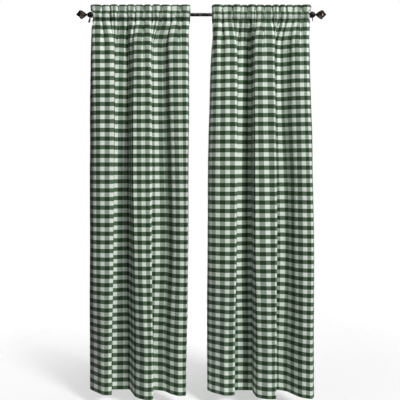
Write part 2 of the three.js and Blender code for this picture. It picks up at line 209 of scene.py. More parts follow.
# Smooth random heights between -1 and 1 on a grid of the given steps
def ripples(u, v, stepU, stepV, seed):
    draw = np.random.default_rng(seed)
    a = (u - np.min(u)) / stepU
    b = (v - np.min(v)) / stepV
    heights = draw.uniform(-1, 1, (int(np.max(a)) + 3, int(np.max(b)) + 3))
    i = a.astype(int)
    j = b.astype(int)
    s = a - i
    t = b - j
    s = s * s * s * (s * (6 * s - 15) + 10)
    t = t * t * t * (t * (6 * t - 15) + 10)
    low = heights[i, j] * (1 - s) + heights[i + 1, j] * s
    high = heights[i, j + 1] * (1 - s) + heights[i + 1, j + 1] * s
    return low * (1 - t) + high * t


# Where each column of the mesh leaves the rod, and its place within its gather
def columnsOf(panel):
    gathers = np.array(panel["gathers"], float)
    edges = panel["from"] + np.concatenate([[0], np.cumsum(gathers)])
    middles = (edges[:-1] + edges[1:]) / 2
    cloth = np.array([turn[1] for turn in panel["turns"]], float)
    shoulder = np.array([turn[2][0] for turn in panel["turns"]], float)
    even = edges[0] + (edges[-1] - edges[0]) * cloth / curtain["width"]
    alongRod = even + (shoulder - even) * gathering["unevenness"]
    alongRod[0], alongRod[-1] = edges[0], edges[-1]
    steps = np.arange(curtain["stepsPerGather"]) / curtain["stepsPerGather"]
    rodX = np.append((edges[:-1, None] + gathers[:, None] * steps).ravel(), edges[-1])
    hem, step, width = curtain["sideHem"], curtain["hemStep"], curtain["width"]
    hemEdges = [hem - step, hem + step, width - hem - step, width - hem + step]
    rodX = np.sort(np.append(rodX, np.interp(hemEdges, cloth, alongRod)))
    inGather = np.clip(np.searchsorted(edges, rodX, side="right") - 1, 0, len(gathers) - 1)
    taken = np.diff(np.interp(edges, alongRod, cloth))
    fullness = np.minimum(taken / gathers, gathering["mostFullness"])
    slack = np.maximum(fullness**2 - 1, gathering["leastSlack"])
    depths = gathering["depth"] * gathers * np.sqrt(slack)
    return {
        "rodX": rodX,
        "cloth": np.interp(rodX, alongRod, cloth),
        "turn": 2 * np.pi * (rodX - edges[inGather]) / gathers[inGather],
        "bunch": gathering["rounding"] * gathers[inGather] / (2 * np.pi),
        "depth": np.interp(rodX, middles, depths),
        "reach": np.interp(rodX, middles, panel["reach"]),
        "dip": np.interp(rodX, edges, panel["dips"]),
    }


def rowsOf():
    length, hem, step = curtain["length"], curtain["bottomHem"], curtain["hemStep"]
    ruffle, pocket = curtain["ruffle"], curtain["pocketSeam"]
    heading = [0, 0.5, 1.5, 3, 6, 10, 14, 18, 22, 26, 30, 34, 36.5, ruffle]
    inPocket = [39.5, 42, 45, 49, 53, 57, 61, 66, 70, 74, 77, 79.5, pocket]
    below = [82.5, 85, 88, 92, 96, 101, 107, 113, 120, 128, 137, 147, 158, 170]
    body = list(np.arange(183, length - hem - 8, 15.2))
    foot = [length - hem - step, length - hem + step, *np.linspace(length - hem + 8, length - 3, 6)]
    return np.array([*heading, *inPocket, *below, *body, *foot, length - 1, length], float)


# Keeps the side edges beside the rod's fittings, at the pocket
def drawnIn(x, down):
    clear = gathering["edgeClear"]
    free = smooth(gathering["edgeAt"], gathering["edgeLimit"], down) - clear
    beyond = np.maximum(np.abs(x) - free, 0)
    return np.where(beyond > 0, np.sign(x) * (free + clear * np.tanh(beyond / clear)), x)


# Small heights: puckers at the seams, wrinkles over the rod, creases that fade downwards
def smallRelief(panel, u, v):
    ruffle, pocket, length = curtain["ruffle"], curtain["pocketSeam"], curtain["length"]

    def near(line, fade):
        return np.exp(-(((v - line) / fade) ** 2))

    body = smooth((60, 260, length), (0, 1, 0.7), v)
    zones = {
        "seamPucker": near(ruffle, relief["seamFade"]) + near(pocket, relief["seamFade"]),
        "pocketWrinkle": smooth((0, ruffle, pocket, 130), (0.6, 1, 1, 0), v),
        "underPocket": smooth((60, 95, 200, 420), (0, 1, 0.6, 0), v),
        "bodyCrease": body,
        "slowWave": body,
        "fineWave": body,
        "hemPucker": near(length - curtain["bottomHem"], relief["hemFade"]),
    }
    height = np.zeros(v.shape)
    for number, (kind, zone) in enumerate(zones.items()):
        high, stepU, stepV, lean = relief[kind]
        height += high * zone * ripples(u + lean * v, v, stepU, stepV, panel["seed"] + number)
    fade = relief["creaseFade"]
    for top, foot, start, end, width, depth in panel["creases"]:
        line = top + (foot - top) * (v - start) / (end - start)
        reach = (start - fade, start + fade, (start + end) / 2, end + 20)
        height -= depth * smooth(reach, (0, 1, 0.8, 0), v) * np.exp(-(((u - line) / width) ** 2))
    return height


# The way the folds run across each row, and how nearly straight they are over one gather
def wayOf(x, y):
    reach = curtain["stepsPerGather"] // 2
    here = np.arange(x.shape[1])
    before, after = np.maximum(here - reach, 0), np.minimum(here + reach, len(here) - 1)
    wayX, wayY = x[:, after] - x[:, before], y[:, after] - y[:, before]
    chord = np.hypot(wayX, wayY)
    around = np.hypot(x - x[:, before], y - y[:, before])
    around += np.hypot(x - x[:, after], y - y[:, after])
    return wayX / chord, wayY / chord, chord / around


# Middle of the cloth, row by row; side is 1 for the pocket's front layer, -1 for its back
def middleOf(panel, columns, down, side):
    cloth = np.array([turn[1] for turn in panel["turns"]], float)
    across = [columns["rodX"]]
    out = [np.full_like(columns["rodX"], curtain["rodOut"])]
    for level in range(3):
        across.append(smooth(cloth, [turn[2][level] for turn in panel["turns"]], columns["cloth"]))
        out.append(smooth(cloth, [turn[3][level] for turn in panel["turns"]], columns["cloth"]))
    lineX = smooth(gathering["foldLevels"], np.array(across), down)
    lineY = smooth(gathering["foldLevels"], np.array(out), down)
    wayX, wayY, straight = wayOf(lineX, lineY)
    shoulder = wayOf(across[1][None], out[1][None])[2]
    pocket = curtain["pocketSeam"]
    rows = down[:, None]
    below = rows > pocket
    flat = np.where(below, np.minimum(straight, shoulder), straight) ** gathering["flattening"]
    opening = smooth(gathering["pocketAt"], gathering["pocketOpen"], rows)
    inPocket = np.minimum(1, opening / gathering["pocketOpen"][1])
    reached = np.where(below, pocket + (rows - pocket) / columns["reach"], rows)
    usual = smooth(gathering["at"], gathering["share"], reached)
    share = usual + (gathering["pocketShare"] - usual) * inPocket
    depth = columns["depth"] * share * flat
    bunched = columns["bunch"] * np.where(below, share * share, share) * flat
    forth = -bunched * np.sin(columns["turn"])
    valley = (1 + np.cos(columns["turn"])) / 2
    proud = depth * (1 - 2 * valley ** gathering["pinch"])
    x = lineX + forth * wayX - proud * wayY
    y = lineY + forth * wayY + proud * wayX + side * (opening + depth * inPocket)
    dip = columns["dip"] * valley**2 * smooth((0, curtain["ruffle"]), (1, 0), rows)
    z = curtain["rodBelowTop"] - rows - dip
    middle = np.stack([drawnIn(x, rows), -y, np.broadcast_to(z, x.shape)], axis=-1)
    u, v = np.broadcast_arrays(columns["cloth"][None, :], rows)
    return middle + normalsOf(middle) * smallRelief(panel, u, v)[..., None]


# Unit normals of a grid of points, towards the room
def normalsOf(grid):
    along = np.gradient(grid, axis=1)
    up = -np.gradient(grid, axis=0)
    normal = np.cross(along, up)
    return normal / np.linalg.norm(normal, axis=-1, keepdims=True)


# Gathers vertices, faces and their places in the cloth into one closed mesh
class ClothMesh:
    def __init__(self):
        self.points = []
        self.faces = []
        self.places = []
        self.count = 0

    def grid(self, points):
        numbers = np.arange(points[..., 0].size).reshape(points.shape[:-1]) + self.count
        self.points.append(points.reshape(-1, 3))
        self.count += numbers.size
        return numbers

    def quads(self, numbers, places, turned=False):
        corners = [(slice(None, -1), slice(None, -1)), (slice(1, None), slice(None, -1))]
        corners += [(slice(1, None), slice(1, None)), (slice(None, -1), slice(1, None))]
        if turned:
            corners.reverse()
        self.faces.append(np.stack([numbers[c].ravel() for c in corners], axis=-1))
        self.places.append(np.stack([places[c].reshape(-1, 2) for c in corners], axis=1))

    def strip(self, one, other, places, turned=False):
        self.quads(np.stack([one, other]), np.stack([places, places]), turned)

    def made(self, name):
        points = np.concatenate(self.points) * mm
        faces = np.concatenate(self.faces)
        mesh = bpy.data.meshes.new(name)
        polygons = [list(dict.fromkeys(face)) for face in faces.tolist()]  # each corner once
        mesh.from_pydata(points.tolist(), [], polygons)
        uvMap = mesh.uv_layers.new(name="clothUv")
        corners = np.concatenate(self.places).reshape(-1, 2)
        kept = np.ones(faces.shape, bool)
        kept[:, 1:] = faces[:, 1:] != faces[:, :-1]
        kept[:, 3] &= faces[:, 3] != faces[:, 0]
        uvMap.data.foreach_set("uv", (corners[kept.ravel()] * mm).ravel())
        mesh.shade_smooth()
        piece = bpy.data.objects.new(name, mesh)
        bpy.context.collection.objects.link(piece)
        return piece


def makePanel(panel):
    columns = columnsOf(panel)
    down = rowsOf()
    cloth = columns["cloth"]
    length, width = curtain["length"], curtain["width"]
    upper = int(np.flatnonzero(down == curtain["ruffle"])[0])
    lower = int(np.flatnonzero(down == curtain["pocketSeam"])[0])
    hemRow = int(np.flatnonzero(down == length - curtain["bottomHem"] - curtain["hemStep"])[0])
    hemLeft = int(np.argmin(np.abs(cloth - curtain["sideHem"] - curtain["hemStep"])))
    hemRight = int(np.argmin(np.abs(cloth - width + curtain["sideHem"] + curtain["hemStep"])))
    inPocket = (np.arange(len(down)) > upper) & (np.arange(len(down)) < lower)

    frontMiddle = middleOf(panel, columns, down, 1)
    backMiddle = middleOf(panel, columns, down, -1)
    frontNormal, backNormal = normalsOf(frontMiddle), normalsOf(backMiddle)
    half = curtain["layer"] / 2
    edgeShare = curtain["edgeShare"]
    loft = smooth(curtain["loftAt"], curtain["loftShare"], down) * curtain["ruffleLoft"]
    loft[0] = -half * curtain["foldThinning"]
    rounded = np.where(down == length, edgeShare, 1) * half
    # How many more layers lie behind each point: hems, and the turned-over heading
    hemmed = np.zeros((len(down), len(cloth)))
    hemmed[:, :hemLeft] = 1
    hemmed[:, hemRight + 1 :] = 1
    hemmed[hemRow + 1 :, :] += 1
    hemmed[: upper + 1, :] = 1
    hemmed[lower, :] += 1
    hemmed[upper + 1 : lower, :] = 0
    hemmed[-1, :] *= edgeShare
    hemmed[0, :] = edgeShare
    frontSkin = frontMiddle + frontNormal * (rounded + loft)[:, None, None]
    backDepth = (rounded + loft)[:, None] + hemmed * curtain["layer"]
    backFrom = np.where(inPocket[:, None, None], backMiddle, frontMiddle)
    backWay = np.where(inPocket[:, None, None], backNormal, frontNormal)
    backSkin = backFrom - backWay * backDepth[..., None]

    mesh = ClothMesh()
    overRod = smooth((curtain["ruffle"], curtain["pocketSeam"]), (0, curtain["overRod"]), down)
    overFold = smooth((0, curtain["foldReach"]), (curtain["overFold"], 0), down)
    rowDrop = smooth(curtain["rowDropAt"], panel["rowDrop"], down)
    alongCloth = down + overRod - overFold - rowDrop
    start, foot = panel["checkStart"], alongCloth[-1]
    u, v = np.broadcast_arrays(cloth[None, :] + start, alongCloth[:, None])
    places = np.stack([u, v], axis=-1)
    front = mesh.grid(frontSkin)
    back = mesh.grid(backSkin)
    mesh.quads(front, places)
    # Behind, the cloth of the heading and hems is turned over, so each fold mirrors the check
    rowParts = ((0, lower, 0), (lower, hemRow, None), (hemRow, len(down) - 1, foot))
    colParts = [(0, hemLeft, start), (hemLeft, hemRight, None)]
    colParts.append((hemRight, len(cloth) - 1, start + width))
    for firstRow, lastRow, foldV in rowParts:
        for firstCol, lastCol, foldU in colParts:
            part = (slice(firstRow, lastRow + 1), slice(firstCol, lastCol + 1))
            placesU = u[part] if foldU is None else 2 * foldU - u[part]
            placesV = v[part] if foldV is None else 2 * foldV - v[part]
            mesh.quads(back[part], np.stack([placesU, placesV], axis=-1), turned=True)
    # The tunnel of the pocket, closed by its two seams
    seamMiddle = middleOf(panel, columns, down, 0)[[upper, lower]]
    seamMiddle[0, :, 2] -= curtain["seamDepth"]
    seamMiddle[1, :, 2] += curtain["seamDepth"]
    seams = mesh.grid(seamMiddle)
    inside = slice(upper + 1, lower)
    innerFront = mesh.grid(frontMiddle[inside] - frontNormal[inside] * half)
    innerBack = mesh.grid(backMiddle[inside] + backNormal[inside] * half)
    tunnelFront = np.concatenate([seams[:1], innerFront, seams[1:]])
    tunnelBack = np.concatenate([seams[:1], innerBack, seams[1:]])
    pocketRows = slice(upper, lower + 1)
    mesh.quads(tunnelFront, places[pocketRows], turned=True)
    mesh.quads(tunnelBack, places[pocketRows] * (1, -1))
    # The edges all round
    mesh.strip(back[0], front[0], places[0])
    mesh.strip(front[-1], back[-1], places[-1])
    for c, turned in ((0, False), (len(cloth) - 1, True)):
        for part in (slice(None, upper + 1), slice(lower, None)):
            mesh.strip(front[part, c], back[part, c], places[part, c], turned)
        mesh.strip(front[pocketRows, c], tunnelFront[:, c], places[pocketRows, c], turned)
        mesh.strip(tunnelBack[:, c], back[pocketRows, c], places[pocketRows, c], turned)
        for row, seam in ((upper, 0), (lower, 1)):
            corner = np.array([back[row, c], seams[seam, c], front[row, c], front[row, c]])
            if turned == (seam == 0):
                corner = corner[[2, 1, 0, 0]]
            mesh.faces.append(corner[None, :])
            mesh.places.append(np.repeat(places[row, c][None, None, :], 4, axis=1))
    piece = mesh.made(panel["name"])
    return piece, {
        "front": frontSkin,
        "back": backSkin,
        "upper": upper,
        "lower": lower,
        "hemRow": hemRow,
        "hemLeft": hemLeft,
        "hemRight": hemRight,
    }


# Machine stitching: each stitch is a small spindle that dips into the cloth at both ends
sewing = {
    "pitch": 3.0,
    "stitch": 2.4,
    "halfWidth": 0.28,
    "rise": 0.3,
    "dip": 0.2,
    "besideHem": 2,  # rows or columns of the mesh from the hem's edge
}


def spindles(line, outwards):
    steps = np.linalg.norm(np.diff(line, axis=0), axis=1)
    reach = np.concatenate([[0], np.cumsum(steps)])
    starts = np.arange(1, reach[-1] - sewing["pitch"], sewing["pitch"])

    def at(distance, values):
        return np.stack([np.interp(distance, reach, values[:, k]) for k in range(3)], axis=-1)

    first, last = at(starts, line), at(starts + sewing["stitch"], line)
    middle, up = at(starts + sewing["stitch"] / 2, line), at(starts, outwards)
    up /= np.linalg.norm(up, axis=-1, keepdims=True)
    side = np.cross(last - first, up)
    side *= sewing["halfWidth"] / np.linalg.norm(side, axis=-1, keepdims=True)
    crown, foot = middle + up * sewing["rise"], middle - up * sewing["dip"]
    return np.stack([first, last, crown, middle + side, foot, middle - side], axis=1)


def makeStitching(panel, skins):
    beside = sewing["besideHem"]
    rowLines = [skins["upper"], skins["lower"], skins["hemRow"] + beside]
    colLines = [skins["hemLeft"] - beside, skins["hemRight"] + beside]
    found = []
    for skin, way in (("front", 1), ("back", -1)):
        grid = skins[skin]
        normals = normalsOf(grid) * way
        for row in rowLines:
            found.append(spindles(grid[row], normals[row]))
        body = slice(skins["lower"], None)
        for col in colLines:
            found.append(spindles(grid[body, col], normals[body, col]))
    corners = np.concatenate(found)
    tips = [(0, 3, 2), (0, 4, 3), (0, 5, 4), (0, 2, 5), (1, 2, 3), (1, 3, 4), (1, 4, 5), (1, 5, 2)]
    firsts = np.arange(len(corners)) * corners.shape[1]
    faces = (firsts[:, None, None] + np.array(tips)[None]).reshape(-1, 3)
    name = panel["name"].replace("curtain", "stitching")
    mesh = bpy.data.meshes.new(name)
    mesh.from_pydata((corners.reshape(-1, 3) * mm).tolist(), [], faces.tolist())
    piece = bpy.data.objects.new(name, mesh)
    bpy.context.collection.objects.link(piece)
    return piece


# Shader maths: a Wire wraps an output socket, and sums on it add Math nodes
class Wire:
    def __init__(self, finish, socket):
        self.finish = finish
        self.socket = socket

    def sum(self, operation, *values, clamp=False):
        settings = {"operation": operation, "use_clamp": clamp}
        return self.finish.node("ShaderNodeMath", settings, dict(enumerate(values)))

    def output(self, name):
        return Wire(self.finish, self.socket.node.outputs[name])

    def __add__(self, other):
        return self.sum("ADD", self, other)

    def __radd__(self, other):
        return self.sum("ADD", other, self)

    def __sub__(self, other):
        return self.sum("SUBTRACT", self, other)

    def __rsub__(self, other):
        return self.sum("SUBTRACT", other, self)

    def __mul__(self, other):
        return self.sum("MULTIPLY", self, other)

    def __rmul__(self, other):
        return self.sum("MULTIPLY", other, self)

    def __truediv__(self, other):
        return self.sum("DIVIDE", self, other)

    def __abs__(self):
        return self.sum("ABSOLUTE", self)

    def fraction(self):
        return self.sum("FRACT", self)

    def sine(self):
        return self.sum("SINE", self)

    def clamped(self):
        return self.sum("ADD", self, 0, clamp=True)


class Finish:
    def __init__(self, name, constants):
        self.material = bpy.data.materials.new(name)
        self.material.use_nodes = True
        self.tree = self.material.node_tree
        self.shader = self.tree.nodes["Principled BSDF"]
        for socket, value in constants.items():
            self.shader.inputs[socket].default_value = value

    # Any node: its settings are set first, then its sockets take values or links
    def node(self, kind, settings=None, inputs=None, output=0):
        made = self.tree.nodes.new(kind)
        for key, value in (settings or {}).items():
            setattr(made, key, value)
        for key, value in (inputs or {}).items():
            if isinstance(value, Wire):
                self.tree.links.new(value.socket, made.inputs[key])
            else:
                made.inputs[key].default_value = value
        return Wire(self, made.outputs[output])

    def feed(self, socket, wire):
        self.tree.links.new(wire.socket, self.shader.inputs[socket])

    def mix(self, factor, one, other, blend="MIX"):
        settings = {"data_type": "RGBA", "blend_type": blend}
        return self.node("ShaderNodeMix", settings, {0: factor, 6: one, 7: other}, output=2)

    # Noise with its own scale for each axis
    def noise(self, vector, scale, detail=2.0):
        placed = self.node("ShaderNodeMapping", {}, {"Vector": vector, "Scale": scale})
        inputs = {"Vector": placed, "Scale": 1.0, "Detail": detail}
        return self.node("ShaderNodeTexNoise", {}, inputs)

    def bump(self, height, distance, strength):
        inputs = {"Height": height, "Distance": distance, "Strength": strength}
        self.feed("Normal", self.node("ShaderNodeBump", {}, inputs))


# The woven check, with linear colours; noise scales are for each metre
check = {
    "warpPeriod": 50 * mm,
    "weftPeriod": 46.4 * mm,
    "whiteWarp": 35 * mm,  # middle of a white band across the cloth
    "firstWeft": 38 * mm,  # middle of the first green row, below the top edge
    "greenShare": 0.5,
    "edge": 1.4 * mm,
    "wobble": 1.6 * mm,
    "wobbleScale": (12, 90),
    "bothGreen": (0.013, 0.037, 0.0125, 1),
    "greenWeft": (0.094, 0.168, 0.090, 1),
    "greenWarp": (0.300, 0.395, 0.300, 1),
    "white": (0.87, 0.93, 0.86, 1),
    "threads": 0.62 * mm,
    "yarnScale": (18, 900),
    "patchScale": 9,
    "tones": {"weave": 0.10, "warp": 0.28, "weft": 0.34, "patches": 0.10},
    "heights": {"weave": 0.5, "warp": 0.6, "weft": 0.6},
    "bumpDistance": 0.12 * mm,
    "bumpStrength": 0.5,
}


def clothFinish():
    finish = Finish("checkCloth", {"Roughness": 0.88, "Sheen Weight": 0.12, "Sheen Roughness": 0.5})
    place = finish.node("ShaderNodeUVMap", {"uv_map": "clothUv"})
    split = finish.node("ShaderNodeSeparateXYZ", {}, {"Vector": place})
    u, v = split.output("X"), split.output("Y")
    slow, quick = check["wobbleScale"]
    wobbleU = (finish.noise(place, (slow, quick, 1)) - 0.5) * check["wobble"]
    wobbleV = (finish.noise(place, (quick, slow, 1)) - 0.5) * check["wobble"]

    def whiteBand(at, period, middle):
        away = abs((at / period - (middle / period - 0.5)).fraction() - 0.5) * period
        return (((1 - check["greenShare"]) / 2 * period - away) / check["edge"] + 0.5).clamped()

    whiteRowAt = check["firstWeft"] + check["weftPeriod"] / 2
    whiteWarp = whiteBand(u + wobbleU, check["warpPeriod"], check["whiteWarp"])
    whiteWeft = whiteBand(v + wobbleV, check["weftPeriod"], whiteRowAt)
    greenRow = finish.mix(whiteWarp, check["bothGreen"], check["greenWeft"])
    whiteRow = finish.mix(whiteWarp, check["greenWarp"], check["white"])
    colour = finish.mix(whiteWeft, greenRow, whiteRow)
    # Threads: a plain weave, with thicker and thinner yarns both ways
    turns = math.pi / check["threads"]
    slow, quick = check["yarnScale"]
    weave = (u * turns).sine() * (v * turns).sine()
    warp = finish.noise(place, (quick, slow, 1)) - 0.5
    weft = finish.noise(place, (slow, quick, 1)) - 0.5
    patches = finish.noise(place, (check["patchScale"], check["patchScale"], 1)) - 0.5
    share = check["tones"]
    tone = 1 + weave * share["weave"] + warp * share["warp"] + weft * share["weft"]
    tone = tone + patches * share["patches"]
    finish.feed("Base Color", finish.mix(1.0, colour, tone, blend="MULTIPLY"))
    share = check["heights"]
    height = weave * share["weave"] + warp * share["warp"] + weft * share["weft"]
    finish.bump(height, check["bumpDistance"], check["bumpStrength"])
    return finish.material


# Sewing thread, matched to the green yarn
threadColours = {
    "dark": (0.012, 0.035, 0.018, 1),
    "light": (0.03, 0.075, 0.04, 1),
    "scale": (300, 300, 300),
}


def threadFinish():
    finish = Finish("sewingThread", {"Roughness": 0.6, "Sheen Weight": 0.2})
    place = finish.node("ShaderNodeTexCoord", output="Object")
    shade = finish.noise(place, threadColours["scale"])
    finish.feed("Base Color", finish.mix(shade, threadColours["dark"], threadColours["light"]))
    return finish.material


# Dark bronze lacquer, browner where it is rubbed
bronze = {
    "dark": (0.010, 0.0085, 0.008, 1),
    "patchScale": (60, 60, 60),
    "patchDetail": 5,
    "brushScale": (40, 600, 600),
    "rubbedAbove": 0.62,
    "rubbedSharpness": 7,
    "brushRoughness": 0.16,
    "rubbedRoughness": 0.06,
    "brushHeight": 0.3,
    "bumpDistance": 0.05 * mm,
    "bumpStrength": 0.4,
}


def bronzeFinish(name, rubbed, roughness, wear):
    finish = Finish(name, {"Metallic": 0.7, "Coat Weight": 0.35, "Coat Roughness": 0.15})
    place = finish.node("ShaderNodeTexCoord", output="Object")
    patches = finish.noise(place, bronze["patchScale"], bronze["patchDetail"])
    brushed = finish.noise(place, bronze["brushScale"])
    worn = ((patches - (bronze["rubbedAbove"] - wear)) * bronze["rubbedSharpness"]).clamped()
    finish.feed("Base Color", finish.mix(worn, bronze["dark"], rubbed))
    uneven = (brushed - 0.5) * bronze["brushRoughness"] + worn * bronze["rubbedRoughness"]
    finish.feed("Roughness", roughness + uneven)
    height = patches + brushed * bronze["brushHeight"]
    finish.bump(height, bronze["bumpDistance"], bronze["bumpStrength"])
    return finish.material


cloth = clothFinish()
thread = threadFinish()
for panel in (leftPanel, rightPanel):
    piece, skins = makePanel(panel)
    piece.data.materials.append(cloth)
    stitching = makeStitching(panel, skins)
    stitching.data.materials.append(thread)
    for made in (piece, stitching):
        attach(made, "root")
    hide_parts(panel["node"])
    print(panel["name"], "made with", len(piece.data.polygons), "faces")

# Rod and fittings, in millimetres, with the same sizes as the solids they replace. A profile
# is a list of places along the rod, from where the piece begins, each with its radius.
rod = {"radius": 9.5, "end": 618, "softEnd": 0.8, "around": 64}
socket = {
    "from": 597,
    "bore": 10.2,
    "profile": ((0, 14.5), (1.5, 16), (7, 17), (14, 17), (19.5, 16), (21, 14.5)),
    "steps": 15,
    "around": 48,
}
bead = {
    "from": 618.3,
    "profile": ((0, 10.5), (1.5, 12.6), (3.5, 13), (5.5, 12.6), (7, 10)),
    "steps": 11,
    "around": 48,
}
finial = {
    "from": 625.6,
    "length": 62.4,
    "twist": 55,
    "cornerAt": (0, 3, 7, 14, 23, 32, 38, 42, 49, 56, 60),
    "cornerRadius": (6.5, 5.4, 7, 13, 19, 24, 26.5, 25, 17, 9, 4),
    "sides": (1, 0.786, 0.74, 0.786),  # a square section: corner, quarter, middle, quarter
    "around": 16,
    "steps": 36,
    "softEdge": 0.7,
    "sharpAbove": 40,
}
arm = {
    "plateX": 592,
    "socketX": 604,
    "width": 6,
    "height": 12,
    "from": 4.3,
    "to": 82.7,
    "steps": 12,
    "softEdge": 0.7,
    "sharpAbove": 50,
}
plate = {
    "x": 592,
    "width": 19,
    "height": 64,
    "thickness": 4,
    "corner": 5,
    "cornerSteps": 6,
    "softEdge": 0.8,
    "sharpAbove": 50,
}
screw = {
    "radius": 4,
    "dome": 2.8,
    "domeAngles": (12, 28, 44, 60, 75),
    "from": 4.3,
    "beside": 64 / 3,
    "slot": (7.2, 0.9, 1.1),
    "slotTurn": 35,
    "around": 24,
}
thumbscrew = {
    "stem": (4.2, 3.2),
    "neck": (4.7, 2.7),
    "spade": (5.5, 2.5),
    "neckAt": (-0.5, 1.5, 4),  # stem's end, neck and spade, from the end of the stem's length
    "softTop": 0.7,
    "softShare": 0.85,
    "spadeLength": 10,
    "roundAngles": (20, 40, 58, 74, 84),
    "thinning": 0.35,
    "around": 24,
    "sharpAbove": 50,
    "top": 17.6,
    "x": 611.28,
    "ends": (("left", -1, 14, 0, 11), ("right", 1, 0, 90, 3)),  # side, lean, turn, stem length
}
usual = {"sharpAbove": 35, "softSteps": 3, "weld": 0.01 * mm}


# A filled or open ring, selected in edit mode and ready to be pulled out
def startRing(name, at, radius, around, turned, filled=True):
    bpy.ops.object.select_all(action="DESELECT")
    fill = "NGON" if filled else "NOTHING"
    place = [value * mm for value in at]
    turns = [math.radians(value) for value in turned]
    bpy.ops.mesh.primitive_circle_add(
        vertices=around, radius=radius * mm, fill_type=fill, location=place, rotation=turns
    )
    piece = bpy.context.object
    piece.name = piece.data.name = name
    bpy.ops.object.transform_apply(location=True, rotation=True, scale=True)
    bpy.ops.object.mode_set(mode="EDIT")
    bpy.ops.mesh.select_all(action="SELECT")
    return piece


# Extrudes what is selected from here to there, then widens and turns it
def pull(here, there, widen=(1, 1, 1), turn=0):
    move = [(b - a) * mm for a, b in zip(here, there)]
    middle = [value * mm for value in there]
    bpy.ops.mesh.extrude_region_move(TRANSFORM_OT_translate={"value": move})
    bpy.ops.transform.resize(value=widen, center_override=middle)
    if turn:
        bpy.ops.transform.rotate(value=-math.radians(turn), orient_axis="X", center_override=middle)


# Leaves edit mode, softens the sharp edges and smooths the shading between them
def finishPiece(piece, softEdge=0, sharpAbove=usual["sharpAbove"]):
    limit = math.radians(sharpAbove)
    bpy.ops.mesh.select_all(action="SELECT")
    bpy.ops.mesh.remove_doubles(threshold=usual["weld"])
    bpy.ops.mesh.normals_make_consistent(inside=False)
    bpy.ops.object.mode_set(mode="OBJECT")
    if softEdge:
        soft = piece.modifiers.new("softEdge", "BEVEL")
        soft.width, soft.segments, soft.angle_limit = softEdge * mm, usual["softSteps"], limit
        bpy.ops.object.modifier_apply(modifier=soft.name)
    bpy.ops.object.shade_smooth_by_angle(angle=limit)
    return piece


def copied(piece, name, matrix, mirrored=False):
    made = piece.copy()
    made.data = piece.data.copy()
    made.name = made.data.name = name
    made.data.transform(matrix)
    if mirrored:
        made.data.flip_normals()
    bpy.context.collection.objects.link(made)
    return made


# Pulls a ring along the rod through a profile of distance and radius
def turnedPiece(name, profile, around, bore=0):
    (start, radius), rest = profile[0], list(profile[1:])
    if bore:
        rest += [(rest[-1][0], bore), (start, bore), (start, radius)]
    out = -curtain["rodOut"]
    piece = startRing(name, (start, out, 0), radius, around, (0, 90, 0), filled=not bore)
    for along, wide in rest:
        pull((start, out, 0), (along, out, 0), (1, wide / radius, wide / radius))
        start, radius = along, wide
    return finishPiece(piece)


def alongProfile(settings):
    places, radii = zip(*settings["profile"])
    steps = np.linspace(places[0], places[-1], settings["steps"])
    return [(settings["from"] + float(t), float(smooth(places, radii, t))) for t in steps]


# A ring of points is squared by drawing in all but its four corners, then pulled and twisted
def makeFinial():
    out, around, quarters = -curtain["rodOut"], finial["around"], len(finial["sides"])
    steps = np.linspace(0, finial["cornerAt"][-1], finial["steps"])
    corners = [float(smooth(finial["cornerAt"], finial["cornerRadius"], t)) for t in steps]
    here = (finial["from"], out, 0)
    middle = [value * mm for value in here]
    piece = startRing("finialRight", here, corners[0], around, (0, 90, 0))
    bpy.ops.object.mode_set(mode="OBJECT")
    for spoke in range(1, quarters):
        for vertex in piece.data.vertices:
            angle = math.atan2(vertex.co.z, vertex.co.y - out * mm)
            vertex.select = round(angle / (2 * math.pi / around)) % quarters == spoke
        for part in (*piece.data.edges, *piece.data.polygons):
            part.select = False
        bpy.ops.object.mode_set(mode="EDIT")
        share = finial["sides"][spoke]
        bpy.ops.transform.resize(value=(1, share, share), center_override=middle)
        bpy.ops.object.mode_set(mode="OBJECT")
    bpy.ops.object.mode_set(mode="EDIT")
    bpy.ops.mesh.select_all(action="SELECT")
    turn = finial["twist"] * float(steps[1]) / finial["length"]
    for step, before, after in zip(steps[1:], corners[:-1], corners[1:]):
        there = (finial["from"] + float(step), out, 0)
        pull(here, there, (1, after / before, after / before), turn)
        here = there
    pull(here, (finial["from"] + finial["length"], out, 0))
    bpy.ops.mesh.merge(type="CENTER")
    return finishPiece(piece, finial["softEdge"], finial["sharpAbove"])


# A flat bar that bends sideways on its way from the plate to the socket
def makeArm():
    reach, aside = arm["to"] - arm["from"], arm["socketX"] - arm["plateX"]
    here = (arm["plateX"], -arm["from"], 0)
    middle = [value * mm for value in here]
    bpy.ops.object.select_all(action="DESELECT")
    bpy.ops.mesh.primitive_plane_add(size=mm, location=middle, rotation=(math.radians(90), 0, 0))
    piece = bpy.context.object
    piece.name = piece.data.name = "armRight"
    bpy.ops.object.transform_apply(location=True, rotation=True, scale=True)
    bpy.ops.object.mode_set(mode="EDIT")
    bpy.ops.mesh.select_all(action="SELECT")
    bpy.ops.transform.resize(value=(arm["width"], 1, arm["height"]), center_override=middle)
    for k in range(1, arm["steps"] + 1):
        t = k / arm["steps"]
        there = (arm["plateX"] + aside * t * t * (3 - 2 * t), -arm["from"] - reach * t, 0)
        pull(here, there)
        here = there
    return finishPiece(piece, arm["softEdge"], arm["sharpAbove"])


